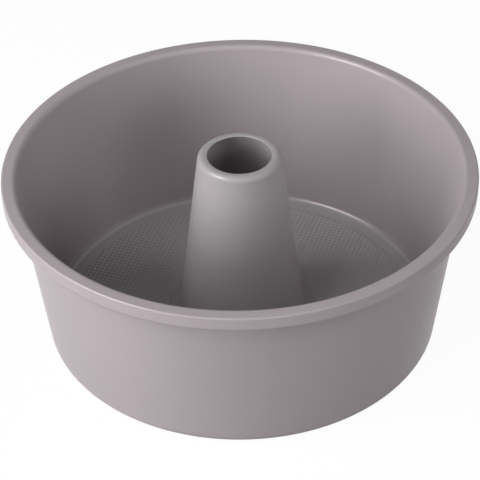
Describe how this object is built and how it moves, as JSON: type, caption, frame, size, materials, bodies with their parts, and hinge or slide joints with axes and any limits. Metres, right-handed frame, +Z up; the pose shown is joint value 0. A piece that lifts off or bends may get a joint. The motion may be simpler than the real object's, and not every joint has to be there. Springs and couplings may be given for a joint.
{
  "type": "two-piece tube pan",
  "caption": "Round tapered cake pan with a wired rolled rim and a loose base plate that carries a hollow cone-shaped centre tube and lifts out.",
  "frame": {"origin": "centre of the ring that the pan stands on, at table level", "axes": "+Z up along the axis of the wall and the tube; X and Y are alike because every piece is turned"},
  "size_m": [0.26, 0.26, 0.11],
  "materials": {
    "wall_coating": "satin non-stick coating, warm mauve grey",
    "bright_wire": "drawn steel wire, closed inside the rim",
    "plate_coating": "satin non-stick coating over a fine square embossed grid",
    "tube_coating": "satin non-stick coating, warm mauve grey"
  },
  "bodies": {
    "pan_ring": {"side_wall": "wall_coating", "rim_wire": "bright_wire"},
    "tube_insert": {"base_plate": "plate_coating", "centre_tube": "tube_coating"}
  },
  "joints": [
    {"name": "insert_lift", "type": "slide", "parent": "pan_ring", "child": "tube_insert", "axis": [0, 0, 1], "range_m": [0, 0.13]}
  ]
}
